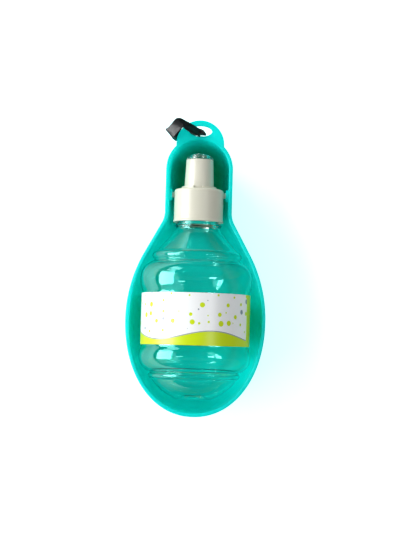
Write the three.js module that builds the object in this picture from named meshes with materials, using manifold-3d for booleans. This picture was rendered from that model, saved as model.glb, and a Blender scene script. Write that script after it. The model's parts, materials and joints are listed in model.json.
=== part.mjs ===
// Pet water bottle that folds into its own drinking tray, lying on its back.
// Millimetres, +Z up, +Y along the bottle toward the hang tab, +X to the right.
// The origin is on the flat base, under the widest place of the tray's bowl.
// Everything is drawn about the hinge axis first: y = 0 and z = 0 are on it.

import * as THREE from 'three';
import { mergeVertices } from 'three/addons/utils/BufferGeometryUtils.js';
import Module from 'manifold-3d';

const wasm = await Module();
wasm.setup();

// Clearances
const SEAT = 0.3; // between pieces that touch
const RUN = 0.3; // round a turning pin

// Collar, with heights along the bottle's axis, positive toward the spout
const COLLAR_R = 18.35;
const COLLAR_FOOT = -20.4;
const COLLAR_CEILING = 1.8;
const COLLAR_TOP = COLLAR_CEILING + 2.2;
const COLLAR_EDGE = 1.6; // rounding of the upper edge
const COLLAR_SIDES = 40;
const PIN_R = 2.0; // side pins of the hinge

// Bottle
const GASKET_T = 1.5;
const LIP_Y = COLLAR_CEILING - GASKET_T - 2 * SEAT;
const NECK_R = COLLAR_R - 2.85;
const NECK_WALL = 2.2;
const BULGE_R = 41.9; // both bulges at their fullest
const BULGE_RISE = 11.9; // depth of a bulge's curve
const PANEL_R = BULGE_R - 2.0; // flat panel under the label
const PANEL_Y = [-112.8, -73.5];
const BASE_Y = -152; // foot of the bottle
const BOTTLE_WALL = 1.0;
const BOTTLE_SIDES = 40;
const LABEL_T = 0.3;
const LABEL_EDGE = 0.7; // panel left bare at each edge of the label

// Twist nozzle, on the collar's stem
const STEM_R = 6.0;
const STEM_WALL = 1.8;
const STEM_L = 14.2;
const STEM_TOP = COLLAR_TOP + STEM_L;
const SPOUT_BASE_R = 11.0;
const SPOUT_TIP_R = 10.05;
const SPOUT_FOOT = COLLAR_TOP + 0.6;
const SPOUT_L = 21.8;
const SPOUT_TOP = SPOUT_FOOT + SPOUT_L;
const SPOUT_BORE = STEM_R + 1.9;
const LIP_T = 1.6; // inner lip that holds the nozzle under the stem's bead
const TIP_DOME = 4.6; // clear tip pressed into the nozzle
const TIP_SPIGOT = 3.0;
const TIP_WALL = 1.6;
const OUTLET_R = 2.5;
const VALVE_WAYS = 4; // windows in stem and sleeve, flutes in the nozzle
const VALVE_WIDTH = 3.0;
const VALVE_LOW = COLLAR_TOP + 7.2;
const VALVE_HIGH = STEM_TOP - 2.6;
const TWIST = 30; // degrees from shut to open
const STOP_MARGIN = 0.3; // degrees left at each end of the stop window
const LUG_ANGLE = 5.4; // degrees that the stop lug takes up
const RING_H = 2.0; // stop ring on the collar
const RING_T = 1.6;
const RING_R = SPOUT_BASE_R + 0.4 + RING_T;

// Tray: rim outline from above
const BOWL_Y = -93.5; // widest place
const BOWL_HALF = BULGE_R + 10.1;
const BOWL_END = BOWL_Y - BASE_Y + 13; // from the widest place to the far end
const BOWL_POWER = 2.1; // fullness of the far end, 2 is an ellipse
const FLANK_R = 103.5;
const FLANK_ANGLE = 28.8; // degrees that the flank leans in toward the neck
const WAIST_R = 18.5;
const NECK_HALF = COLLAR_R + 6.55;
const NECK_END_Y = 19; // centre of the round end
// Tray: section
const TRAY_WALL = 1.9;
const RIM_UP = 6.0; // rim above the hinge axis
const RIM_OVER = 0.9; // rim standing out from the wall
const RIM_W = RIM_OVER + TRAY_WALL;
const RIM_H = 3.0;
const RIM_ROUND = 0.9;
const DRAFT = 0.02; // wall leaning in for each millimetre down
const ROUND_W = NECK_HALF - RIM_W - 2.1; // rounding from the wall to the floor
const ROUND_H = 30;
const BELLY_GAP = 0.6; // bottle above the floor
const EYE_R = PIN_R + 2.5; // hinge eyes
const EYE_GAP = 1.65; // from the collar to an eye's face
const FLOOR_Z = -(BULGE_R + BELLY_GAP);
const BASE_Z = FLOOR_Z - TRAY_WALL;
// Tray: hang tab, level with the rim
const TAB_R = 17.9;
const TAB_Y = NECK_END_Y + 18.8;
const TAB_T = 3.0;
const SLOT_Y = TAB_Y + 9.7;
const SLOT_HALF = [8.55, 3.9];

// Webbing loop: places it passes, from the slot's middle, with its direction across
const STRAP_W = 10;
const STRAP_T = 1.6;
const STRAP_STEPS = 64;
const STRAP_PATH = [
  { at: [0.2, -0.3, -2.2], across: [-1.0, 0.0, 0.0] },
  { at: [0.1, -0.9, 3.4], across: [-0.86, -0.04, 0.48] },
  { at: [-4.6, 0.2, 6.6], across: [-0.4, -0.55, 0.73] },
  { at: [-10.2, 2.7, 9.2], across: [0.05, -0.74, 0.67] },
  { at: [-15.0, 4.6, 11.8], across: [0.31, -0.7, 0.64] },
  { at: [-17.4, 2.4, 13.2], across: [0.62, -0.53, 0.58] },
  { at: [-21.0, -1.9, 13.2], across: [0.62, -0.53, 0.58] },
  { at: [-22.4, -3.8, 10.4], across: [0.55, -0.55, 0.62] },
  { at: [-21.5, -2.9, 2.6], across: [0.2, -0.65, 0.72] },
  { at: [-17.0, -1.4, -7.8], across: [-0.35, -0.7, 0.6] },
  { at: [-7.0, -0.2, -9.0], across: [-0.9, -0.3, 0.25] },
];

const RAD = Math.PI / 180;
const V2 = (x, y) => new THREE.Vector2(x, y);
const V3 = (x, y, z) => new THREE.Vector3(x, y, z);

// A closed body from a geometry: points welded, triangles without area left out
function solid(geometry) {
  const bare = geometry.clone();
  bare.deleteAttribute('normal');
  bare.deleteAttribute('uv');
  const welded = mergeVertices(bare, 1e-4);
  const index = welded.index.array;
  const kept = [];
  for (let i = 0; i < index.length; i += 3) {
    const [a, b, c] = index.slice(i, i + 3);
    if (a !== b && b !== c && c !== a) {
      kept.push(a, b, c);
    }
  }
  const mesh = new wasm.Mesh({
    numProp: 3,
    vertProperties: new Float32Array(welded.attributes.position.array),
    triVerts: new Uint32Array(kept),
  });
  return new wasm.Manifold(mesh);
}

// A named piece with its own material
function piece(name, body, color, roughness) {
  const mesh = body.getMesh();
  const shared = new THREE.BufferGeometry();
  shared.setAttribute('position', new THREE.BufferAttribute(mesh.vertProperties, 3));
  shared.setIndex(new THREE.BufferAttribute(mesh.triVerts, 1));
  const geometry = shared.toNonIndexed();
  geometry.computeVertexNormals();
  const material = new THREE.MeshStandardMaterial({ color, roughness, metalness: 0 });
  const part = new THREE.Mesh(geometry, material);
  part.name = name;
  return part;
}

// Points of an ellipse about (x, y), from one angle to another in degrees
function arc(x, y, rx, ry, from, to, steps) {
  return Array.from({ length: steps + 1 }, (_, i) => {
    const a = (from + ((to - from) * i) / steps) * RAD;
    return V2(x + rx * Math.cos(a), y + ry * Math.sin(a));
  });
}

// A profile of (radius, height) turned about the bottle's axis, outer wall upward
function turned(profile, sides) {
  const onAxis = profile[0].x === 0;
  return solid(new THREE.LatheGeometry(onAxis ? profile : [...profile, profile[0]], sides));
}

// A tube between two radii and two heights
function tube(inner, outer, low, high, sides) {
  return turned([V2(inner, low), V2(outer, low), V2(outer, high), V2(inner, high)], sides);
}

// A rod along the hinge axis
function hingeRod(radius, from, to) {
  const rod = new THREE.CylinderGeometry(radius, radius, to - from, 20);
  rod.rotateZ(Math.PI / 2);
  rod.translate((from + to) / 2, 0, 0);
  return solid(rod);
}

// A block standing out from the bottle's axis, at an angle from +Z toward +X
function radialBlock(angle, width, near, far, low, high) {
  const block = new THREE.BoxGeometry(width, high - low, far - near);
  block.translate(0, (low + high) / 2, (near + far) / 2);
  block.rotateY(angle * RAD);
  return solid(block);
}

// A sector of a ring about the bottle's axis, between two such angles
function sector(from, to, near, far, low, high) {
  const place = (r, a) => V2(r * Math.sin(a * RAD), r * Math.cos(a * RAD));
  const corners = [place(near, from), place(far, from), place(far, to), place(near, to)];
  const wedge = new THREE.ExtrudeGeometry(new THREE.Shape(corners), {
    depth: high - low,
    bevelEnabled: false,
  });
  wedge.rotateX(Math.PI / 2);
  wedge.translate(0, high, 0);
  return solid(wedge);
}

function cutAll(body, cutters) {
  return cutters.reduce((left, cutter) => left.subtract(cutter), body);
}

// The windows of the valve, turned by an angle
function valveWays(turn, near, far, low, high) {
  return Array.from({ length: VALVE_WAYS }, (_, i) =>
    radialBlock(turn + (360 * i) / VALVE_WAYS, VALVE_WIDTH, near, far, low, high),
  );
}

// Rim outline: points with outward normals, the right half from the far end to the neck end
function rimHalf() {
  const half = [];
  const add = (x, y, nx, ny) => half.push({ at: V2(x, y), out: V2(nx, ny).normalize() });
  const endSteps = 12;
  for (let i = 0; i <= endSteps; i++) {
    const t = (1 - i / endSteps) * 90 * RAD;
    const x = i === 0 ? 0 : Math.cos(t) ** (2 / BOWL_POWER);
    const y = i === endSteps ? 0 : Math.sin(t) ** (2 / BOWL_POWER);
    const slope = BOWL_POWER - 1;
    add(x * BOWL_HALF, BOWL_Y - y * BOWL_END, x ** slope / BOWL_HALF, -(y ** slope) / BOWL_END);
  }
  const flank = FLANK_ANGLE * RAD;
  arc(BOWL_HALF - FLANK_R, BOWL_Y, FLANK_R, FLANK_R, 0, FLANK_ANGLE, 6)
    .slice(1)
    .forEach((p, i) => add(p.x, p.y, Math.cos((flank * (i + 1)) / 6), Math.sin((flank * (i + 1)) / 6)));
  const end = half[half.length - 1].at;
  const waistX = NECK_HALF + WAIST_R;
  const waistY = end.y + (WAIST_R - (waistX - end.x) * Math.cos(flank)) / Math.sin(flank);
  arc(waistX, waistY, -WAIST_R, -WAIST_R, FLANK_ANGLE, 0, 4).forEach((p, i) => {
    const a = flank * (1 - i / 4);
    add(p.x, p.y, Math.cos(a), Math.sin(a));
  });
  arc(0, NECK_END_Y, NECK_HALF, NECK_HALF, 0, 90, 8).forEach((p, i) => {
    const a = (90 * RAD * i) / 8;
    add(i === 8 ? 0 : p.x, p.y, i === 8 ? 0 : Math.cos(a), Math.sin(a));
  });
  return half;
}

// The whole outline, moved inward by a distance
function rimOutline(inset) {
  const right = rimHalf();
  const left = right.slice(1, -1).reverse();
  const moved = right.map(({ at, out }) => at.clone().addScaledVector(out, -inset));
  return [...moved, ...left.map(({ at, out }) => V2(inset * out.x - at.x, at.y - inset * out.y))];
}

// Tray wall: from the base up the outside, over the rim and down to the floor
function traySection() {
  const lean = (z) => DRAFT * (RIM_UP - z);
  const rounding = (edge, low, height, angles) =>
    angles.map((a) => {
      const z = low + height * (1 - Math.cos(a * RAD));
      return { inset: edge + lean(z) + ROUND_W * (1 - Math.sin(a * RAD)), z };
    });
  const angles = [0, 18, 34, 50, 64, 77, 90];
  const rim = arc(0, 0, RIM_ROUND, RIM_ROUND, 0, 90, 2);
  const outerRim = rim.map((p) => ({ inset: RIM_ROUND - p.x, z: RIM_UP - RIM_ROUND + p.y }));
  const innerRim = outerRim.map(({ inset, z }) => ({ inset: RIM_W - inset, z })).reverse();
  return [
    ...rounding(RIM_OVER, BASE_Z, ROUND_H, angles),
    { inset: RIM_OVER + lean(RIM_UP - RIM_H), z: RIM_UP - RIM_H },
    { inset: 0, z: RIM_UP - RIM_H },
    ...outerRim,
    ...innerRim,
    ...rounding(RIM_W, FLOOR_Z, ROUND_H - TRAY_WALL, [...angles].reverse()),
  ];
}

function trayShell() {
  const section = traySection();
  const rings = section.map(({ inset, z }) => rimOutline(inset).map((p) => V3(p.x, p.y, z)));
  const count = rings[0].length;
  const points = rings.flat();
  const base = points.push(V3(0, BOWL_Y, BASE_Z)) - 1;
  const floor = points.push(V3(0, BOWL_Y, FLOOR_Z)) - 1;
  const last = (rings.length - 1) * count;
  const index = [];
  for (let i = 0; i < count; i++) {
    const next = (i + 1) % count;
    index.push(base, next, i);
    index.push(floor, last + i, last + next);
    for (let k = 0; k < last; k += count) {
      index.push(k + i, k + next, k + count + next);
      index.push(k + i, k + count + next, k + count + i);
    }
  }
  const geometry = new THREE.BufferGeometry().setFromPoints(points);
  geometry.setIndex(index);
  return solid(geometry);
}

function hangTab() {
  const outline = new THREE.Shape();
  outline.moveTo(TAB_R, NECK_END_Y);
  outline.absarc(0, TAB_Y, TAB_R, 0, Math.PI, false);
  outline.lineTo(-TAB_R, NECK_END_Y);
  const slot = new THREE.Path();
  slot.absellipse(0, SLOT_Y, SLOT_HALF[0], SLOT_HALF[1], 0, 2 * Math.PI, true);
  outline.holes.push(slot);
  const plate = new THREE.ExtrudeGeometry(outline, {
    depth: TAB_T,
    bevelEnabled: false,
    curveSegments: 26,
  });
  plate.translate(0, 0, RIM_UP - TAB_T);
  const hollow = new THREE.ExtrudeGeometry(new THREE.Shape(rimOutline(RIM_W / 2)), {
    depth: 2 * TAB_T,
    bevelEnabled: false,
  });
  hollow.translate(0, 0, RIM_UP - 1.5 * TAB_T);
  return solid(plate).subtract(solid(hollow));
}

function tray() {
  const eyeOut = NECK_HALF - RIM_OVER - TRAY_WALL / 2;
  const eyeIn = COLLAR_R + EYE_GAP;
  const eyes = hingeRod(EYE_R, eyeIn, eyeOut).add(hingeRod(EYE_R, -eyeOut, -eyeIn));
  const bore = hingeRod(PIN_R + RUN, -NECK_HALF - RIM_W, NECK_HALF + RIM_W);
  return trayShell().add(hangTab()).add(eyes).subtract(bore);
}

// Outer profile of the bottle from the pushed-up base to the shoulder
function bottleBody() {
  const centre = BULGE_R - BULGE_RISE;
  return [
    V2(0, BASE_Y + 3.6),
    V2(7.5, BASE_Y + 2.4),
    V2(10.6, BASE_Y),
    ...arc(0, BASE_Y + 32, BULGE_R - 5, 34, -69, -31, 4),
    ...arc(BULGE_R - 10.6, BASE_Y + 17.4, 3.0, 2.5, -75, 75, 3),
    ...arc(centre, BASE_Y + 31.6, BULGE_RISE, 12.3, -66, 0, 4),
    V2(centre + BULGE_RISE * Math.cos(32 * RAD), PANEL_Y[0] - 0.8),
    V2(PANEL_R, PANEL_Y[0]),
    V2(PANEL_R, PANEL_Y[1]),
    ...arc(centre, PANEL_Y[1] + 10.5, BULGE_RISE, 18, -32, 0, 2),
    ...arc(centre, PANEL_Y[1] + 10.5, BULGE_RISE, 13.5, 0, 74, 4).slice(1),
    ...arc(BULGE_R - 11.5, PANEL_Y[1] + 27.5, 3.0, 3.2, -70, 70, 3),
    V2(BULGE_R - 11.6, PANEL_Y[1] + 31.2),
    V2(NECK_R + 1.0, COLLAR_FOOT - 6.0),
  ];
}

// Neck from the shoulder to the lip, with the support ring below the collar
function bottleNeck() {
  return [
    V2(NECK_R + 0.6, COLLAR_FOOT - 4.4),
    V2(NECK_R + 2.0, COLLAR_FOOT - 3.2),
    V2(NECK_R + 2.0, COLLAR_FOOT - 1.8),
    V2(NECK_R, COLLAR_FOOT - 0.6),
    V2(NECK_R, LIP_Y),
  ];
}

// Each point of a profile moved to its inner side by the wall's thickness
function innerWall(profile, wall) {
  return profile.map((p, i) => {
    const before = profile[Math.max(i - 1, 0)];
    const after = profile[Math.min(i + 1, profile.length - 1)];
    const along = V2(after.x - before.x, after.y - before.y).normalize();
    return i === 0 ? V2(0, p.y + wall) : V2(p.x - along.y * wall, p.y + along.x * wall);
  });
}

function bottle() {
  const body = bottleBody();
  const inside = innerWall(body, BOTTLE_WALL).reverse();
  const bore = NECK_R - NECK_WALL;
  const throat = [V2(bore, LIP_Y), V2(bore, COLLAR_FOOT - 4.4)];
  return turned([...body, ...bottleNeck(), ...throat, ...inside], BOTTLE_SIDES);
}

function label() {
  const inner = PANEL_R + SEAT;
  return tube(inner, inner + LABEL_T, PANEL_Y[0] + LABEL_EDGE, PANEL_Y[1] - LABEL_EDGE, BOTTLE_SIDES);
}

// Height of the stem's bead that the nozzle's inner lip is caught under
const beadLow = SPOUT_FOOT + LIP_T + 0.4;

function collar() {
  const bore = COLLAR_R - 2.35;
  const profile = [
    V2(0, STEM_TOP - STEM_WALL),
    V2(STEM_R - STEM_WALL, STEM_TOP - STEM_WALL),
    V2(STEM_R - STEM_WALL, COLLAR_CEILING),
    V2(bore, COLLAR_CEILING),
    V2(bore, COLLAR_FOOT),
    V2(COLLAR_R + 0.4, COLLAR_FOOT),
    V2(COLLAR_R + 0.4, COLLAR_FOOT + 1.1),
    V2(COLLAR_R, COLLAR_FOOT + 1.6),
    ...arc(COLLAR_R - COLLAR_EDGE, COLLAR_TOP - COLLAR_EDGE, COLLAR_EDGE, COLLAR_EDGE, 0, 90, 4),
    V2(RING_R, COLLAR_TOP),
    V2(RING_R, COLLAR_TOP + RING_H),
    V2(RING_R - RING_T, COLLAR_TOP + RING_H),
    V2(RING_R - RING_T, COLLAR_TOP),
    V2(STEM_R, COLLAR_TOP),
    V2(STEM_R, beadLow),
    V2(STEM_R + 1.2, beadLow),
    V2(STEM_R, beadLow + 1.0),
    V2(STEM_R, STEM_TOP - 0.6),
    V2(STEM_R + 0.9, STEM_TOP - 0.5),
    V2(STEM_R, STEM_TOP),
    V2(0, STEM_TOP),
  ];
  const reach = NECK_HALF - RIM_OVER - 0.5;
  const pins = hingeRod(PIN_R, bore + 1, reach).add(hingeRod(PIN_R, -reach, -bore - 1));
  const half = (TWIST + LUG_ANGLE) / 2 + STOP_MARGIN;
  const stop = sector(-half, half, RING_R - RING_T - 1, RING_R + 1, COLLAR_TOP, COLLAR_TOP + RING_H + 1);
  const ways = valveWays(0, STEM_R - STEM_WALL - 1, STEM_R + 1, VALVE_LOW, VALVE_HIGH);
  return cutAll(turned(profile, COLLAR_SIDES).add(pins), [stop, ...ways]);
}

// Nozzle: shut at rest, its flutes meet the windows after the twist
function spout() {
  const profile = [
    V2(STEM_R + 0.5, SPOUT_FOOT),
    V2(SPOUT_BASE_R, SPOUT_FOOT),
    V2(SPOUT_TIP_R, SPOUT_TOP),
    V2(SPOUT_BORE, SPOUT_TOP),
    V2(SPOUT_BORE, SPOUT_FOOT + LIP_T),
    V2(STEM_R + 0.5, SPOUT_FOOT + LIP_T),
  ];
  const middle = TWIST / 2;
  const lugFrom = middle - LUG_ANGLE / 2;
  const lug = sector(lugFrom, lugFrom + LUG_ANGLE, SPOUT_BASE_R - 1, RING_R, SPOUT_FOOT, COLLAR_TOP + RING_H);
  const flutes = valveWays(TWIST, SPOUT_BORE - 1, SPOUT_BORE + 1.2, VALVE_LOW - 0.4, STEM_TOP + 3.8);
  return cutAll(turned(profile, COLLAR_SIDES).add(lug), flutes);
}

// Domed tip with the outlet, its spigot in the nozzle's bore
function spoutTip() {
  const seat = SPOUT_TOP + SEAT;
  const spigot = SPOUT_BORE - SEAT;
  const outlet = Math.acos(OUTLET_R / SPOUT_TIP_R) / RAD;
  const profile = [
    V2(spigot - TIP_WALL, SPOUT_TOP - TIP_SPIGOT),
    V2(spigot, SPOUT_TOP - TIP_SPIGOT),
    V2(spigot, seat),
    ...arc(0, seat, SPOUT_TIP_R, TIP_DOME, 0, outlet, 4),
    V2(OUTLET_R, seat + TIP_DOME - TIP_WALL),
    V2(spigot - TIP_WALL, seat),
  ];
  return turned(profile, COLLAR_SIDES);
}

function valveSleeve() {
  const inner = STEM_R + SEAT;
  const wall = tube(inner, SPOUT_BORE - 0.4, beadLow + 3.0, STEM_TOP - 0.9, COLLAR_SIDES);
  return cutAll(wall, valveWays(0, inner - 1, SPOUT_BORE + 1, VALVE_LOW, VALVE_HIGH));
}

function spoutRing() {
  const section = (SPOUT_BORE - STEM_R - 0.6) / 2;
  const ring = arc((SPOUT_BORE + STEM_R) / 2, beadLow + 2.0, section, section, 0, 360, 8);
  return turned(ring.slice(0, -1), 24);
}

function neckGasket() {
  const high = COLLAR_CEILING - SEAT;
  return tube(NECK_R - NECK_WALL - 1, NECK_R + 0.1, high - GASKET_T, high, COLLAR_SIDES);
}

// Webbing loop: a flat band along a closed curve, its width turning smoothly on the way
function strap() {
  const centre = V3(0, SLOT_Y, RIM_UP - TAB_T / 2);
  const places = STRAP_PATH.map(({ at }) => V3(...at).add(centre));
  const widths = STRAP_PATH.map(({ across }) => V3(...across));
  const path = new THREE.CatmullRomCurve3(places, true, 'centripetal');
  const turn = new THREE.CatmullRomCurve3(widths, true, 'centripetal');
  const points = [];
  const index = [];
  for (let i = 0; i < STRAP_STEPS; i++) {
    const t = i / STRAP_STEPS;
    const along = path.getTangent(t);
    const across = turn.getPoint(t).projectOnPlane(along).setLength(STRAP_W / 2);
    const outward = across.clone().cross(along).setLength(STRAP_T / 2);
    const corner = (a, b) => path.getPoint(t).addScaledVector(across, a).addScaledVector(outward, b);
    points.push(corner(1, 1), corner(1, -1), corner(-1, -1), corner(-1, 1));
    const here = 4 * i;
    const there = (4 * (i + 1)) % (4 * STRAP_STEPS);
    for (let k = 0; k < 4; k++) {
      const next = (k + 1) % 4;
      index.push(here + k, here + next, there + next);
      index.push(here + k, there + next, there + k);
    }
  }
  const geometry = new THREE.BufferGeometry().setFromPoints(points);
  geometry.setIndex(index);
  return solid(geometry);
}

const TURQUOISE = 0x14cfc2;
const WARM_WHITE = 0xf4f3ec;
const SOFT_WHITE = 0xdfe3e0;

const assembly = new THREE.Group();
assembly.name = 'pet_water_bottle';
assembly.position.set(0, -BOWL_Y, -BASE_Z);
assembly.add(
  piece('tray', tray(), TURQUOISE, 0.35),
  piece('collar', collar(), WARM_WHITE, 0.4),
  piece('neck_gasket', neckGasket(), SOFT_WHITE, 0.6),
  piece('spout', spout(), WARM_WHITE, 0.4),
  piece('spout_tip', spoutTip(), 0xdfeeea, 0.1),
  piece('valve_sleeve', valveSleeve(), SOFT_WHITE, 0.6),
  piece('spout_oring', spoutRing(), 0x2a2a2c, 0.7),
  piece('bottle', bottle(), 0xd4f0ec, 0.08),
  piece('label', label(), 0xeef4cf, 0.35),
  piece('strap', strap(), 0x1b1c1e, 0.8),
);

const root = new THREE.Group();
root.add(assembly);
export default root;
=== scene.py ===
"""Looks of a pet water bottle that folds into its own drinking tray, lying on its back.

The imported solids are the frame. Each section below makes one piece as it is put together,
in metres and in the row frame. Lengths in the sections are millimetres from the hinge axis:
x to the right, y along the bottle toward the hang tab, z up.
"""

import json
import math

import bmesh
import bpy
import numpy as np
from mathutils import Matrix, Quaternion, Vector


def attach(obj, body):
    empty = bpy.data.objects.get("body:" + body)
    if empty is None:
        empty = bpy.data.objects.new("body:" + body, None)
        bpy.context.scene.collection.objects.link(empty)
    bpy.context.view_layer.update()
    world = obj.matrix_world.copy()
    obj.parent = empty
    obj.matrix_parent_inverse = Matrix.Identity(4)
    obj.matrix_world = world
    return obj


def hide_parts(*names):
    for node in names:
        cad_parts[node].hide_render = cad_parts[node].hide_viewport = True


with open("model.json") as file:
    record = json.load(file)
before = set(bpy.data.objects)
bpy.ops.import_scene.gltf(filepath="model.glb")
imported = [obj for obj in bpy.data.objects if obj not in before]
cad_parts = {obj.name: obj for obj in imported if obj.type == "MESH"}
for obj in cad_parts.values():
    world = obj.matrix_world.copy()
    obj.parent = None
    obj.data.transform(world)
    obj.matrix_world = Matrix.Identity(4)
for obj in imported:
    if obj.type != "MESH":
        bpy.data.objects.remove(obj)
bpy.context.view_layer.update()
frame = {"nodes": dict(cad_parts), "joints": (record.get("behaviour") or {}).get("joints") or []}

# ---------------------------------------------------------------------------------------
# Camera. The picture is taken from nearly straight above, from a little over a metre, with
# the far end of the bowl nearest to the foot of the tripod, and rolled by a degree or so.
# ---------------------------------------------------------------------------------------
aim = Vector((0.0084, 0.0360, 0.0444))
stand = Vector((0.0084, -0.0216, 1.1090))
roll = math.radians(1.6)
camera = bpy.data.objects.new("photo_camera", bpy.data.cameras.new("photo_camera"))
bpy.context.scene.collection.objects.link(camera)
camera.data.sensor_width = 36.0
camera.data.lens = 36.0 * 1430 / 545  # focal length in picture heights
camera.location = stand
camera.rotation_mode = "QUATERNION"
camera.rotation_quaternion = (stand - aim).to_track_quat("Z", "Y") @ Quaternion((0, 0, 1), roll)
bpy.context.scene.camera = camera
bpy.context.scene.view_settings.view_transform = "Standard"

# ---------------------------------------------------------------------------------------
# Studio. A sheet of white paper lies under the object. A wide softbox on the left and a small
# one behind it light the matt surfaces, with the pale walls of the room. Glossy surfaces
# mirror a window on the left and a narrow softbox on the right.
# ---------------------------------------------------------------------------------------


def linear(code, alpha=1.0):
    """An sRGB hex colour as linear red, green, blue and alpha: the standard two-part curve."""
    srgb = np.array([int(code[i:i + 2], 16) for i in (1, 3, 5)]) / 255
    light = np.where(srgb <= 0.04045, srgb / 12.92, ((srgb + 0.055) / 1.055) ** 2.4)
    return (*light.tolist(), alpha)


def knot(tree, kind, inputs=None, **settings):
    """Adds one node: settings are its properties, inputs its sockets' values or feeds."""
    made = tree.nodes.new(kind)
    for name, value in settings.items():
        setattr(made, name, value)
    for name, value in (inputs or {}).items():
        if isinstance(value, bpy.types.NodeSocket):
            tree.links.new(value, made.inputs[name])
        else:
            made.inputs[name].default_value = value
    return made


def finish(name):
    """A new material with no shader yet, and its node tree."""
    material = bpy.data.materials.new(name)
    material.use_nodes = True
    material.node_tree.nodes.clear()
    return material, material.node_tree


def skin(points, wrap_rows=False, wrap_cols=False):
    """Points of a grid and the four-sided faces between them; a wrapped axis closes on itself."""
    rows, cols = points.shape[:2]
    i, j = np.meshgrid(np.arange(rows if wrap_rows else rows - 1),
                       np.arange(cols if wrap_cols else cols - 1), indexing="ij")
    below, beside = (i + 1) % rows, (j + 1) % cols
    faces = np.stack([i * cols + j, below * cols + j, below * cols + beside, i * cols + beside], -1)
    return points.reshape(-1, 3), faces.reshape(-1, 4)


def build(name, skins, crease=35, origin=(0, 0, 0)):
    """One object from several skins in millimetres about origin (metres): poles and seams are
    merged, faces turned outward, and edges sharper than crease degrees kept sharp."""
    starts = np.cumsum([0] + [len(p) for p, _ in skins])
    points = np.concatenate([p for p, _ in skins]) * 0.001 + np.asarray(origin)
    faces = np.concatenate([f + s for (_, f), s in zip(skins, starts)])
    mesh = bpy.data.meshes.new(name)
    mesh.from_pydata(points, [], faces)
    work = bmesh.new()
    work.from_mesh(mesh)
    bmesh.ops.remove_doubles(work, verts=work.verts, dist=1e-6)
    bmesh.ops.recalc_face_normals(work, faces=work.faces)
    work.to_mesh(mesh)
    work.free()
    mesh.shade_smooth()
    mesh.set_sharp_from_angle(angle=math.radians(crease))
    made = bpy.data.objects.new(name, mesh)
    bpy.context.scene.collection.objects.link(made)
    return made


def lamp(name, place, size, power):
    """A white softbox at a place in metres, facing the bottle's middle, with its power in watts."""
    light = bpy.data.lights.new(name, "AREA")
    light.shape = "RECTANGLE"
    light.size, light.size_y = size
    light.energy = power
    made = bpy.data.objects.new(name, light)
    bpy.context.scene.collection.objects.link(made)
    made.location = place
    made.rotation_mode = "QUATERNION"
    made.rotation_quaternion = (Vector(place) - Vector((0, 0.03, 0.04))).to_track_quat("Z", "Y")
    return made


lamp("softbox_left", (-1.10, -0.22, 0.72), (1.5, 1.2), 15.0).visible_glossy = False
lamp("softbox_back", (-0.85, 0.95, 0.60), (0.6, 0.5), 11.0).visible_glossy = False
lamp("window_left", (-1.15, 0.12, 0.62), (1.05, 0.8), 29.0).visible_diffuse = False
lamp("softbox_right", (0.62, 0.05, 1.00), (0.11, 0.28), 1.5)

# The room's pale walls light matt surfaces. The lens sees white, also straight through clear pieces.
# Clear and glossy pieces don't mirror the room, so they keep their own colour
world = bpy.data.worlds.new("pale_room_white_backdrop")
bpy.context.scene.world = world
world.use_nodes = True
sky = world.node_tree
sky.nodes.clear()
ray = knot(sky, "ShaderNodeLightPath")
room = knot(sky, "ShaderNodeBackground", {"Color": linear("#F4F7F8"), "Strength": 0.44})
white = knot(sky, "ShaderNodeBackground", {"Color": (1, 1, 1, 1), "Strength": 1.0})
clear = knot(sky, "ShaderNodeMath", {0: ray.outputs["Is Transmission Ray"], 1: ray.outputs["Is Diffuse Ray"]},
             operation="SUBTRACT", use_clamp=True)
eye = knot(sky, "ShaderNodeMath", {0: ray.outputs["Is Camera Ray"], 1: clear.outputs[0]}, operation="MAXIMUM")
seen = knot(sky, "ShaderNodeMixShader", {"Fac": eye.outputs[0], 1: room.outputs[0], 2: white.outputs[0]})
turned_back = knot(sky, "ShaderNodeMath", {0: ray.outputs["Glossy Depth"], 1: clear.outputs[0]},
                   operation="MULTIPLY", use_clamp=True)
dim = knot(sky, "ShaderNodeBackground", {"Color": (0, 0, 0, 1), "Strength": 1.0})
seen = knot(sky, "ShaderNodeMixShader", {"Fac": turned_back.outputs[0], 1: seen.outputs[0], 2: dim.outputs[0]})
knot(sky, "ShaderNodeOutputWorld", {"Surface": seen.outputs[0]})
world.cycles_visibility.glossy = False

# White paper: matt, and showing full white where no shadow falls. Near the object the white that the lens sees
# is painted pale turquoise, so the object's shadows there read turquoise: a painted glow for the light that comes
# through the tray. On the right of the softboxes, glossy pieces see a painted teal reflection in place of the
# paper, and beyond the bottle they mirror hardly anything
paper, t = finish("white_paper")
ray = knot(t, "ShaderNodeLightPath")
where = knot(t, "ShaderNodeTexCoord")
across = knot(t, "ShaderNodeSeparateXYZ", {"Vector": where.outputs["Object"]})
sheet = knot(t, "ShaderNodeBsdfDiffuse", {"Color": linear("#F2F2F2")})
# painted shade colour: near the object the white that the lens sees is tinted turquoise, so shadows there read as a
# turquoise glow
far = knot(t, "ShaderNodeVectorMath", {0: where.outputs["Object"]}, operation="LENGTH")
far = knot(t, "ShaderNodeMapRange", {"Value": far.outputs["Value"], "From Min": 0.3, "From Max": 0.7})
glow = knot(t, "ShaderNodeMix", {"Factor": far.outputs[0], 6: (0.47, 1, 1, 1), 7: (1, 1, 1, 1)}, data_type="RGBA")
painted_cyan_shade_lift = knot(t, "ShaderNodeEmission", {"Color": glow.outputs[2], "Strength": 0.95})
both = knot(t, "ShaderNodeAddShader", {0: sheet.outputs[0], 1: painted_cyan_shade_lift.outputs[0]})
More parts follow.
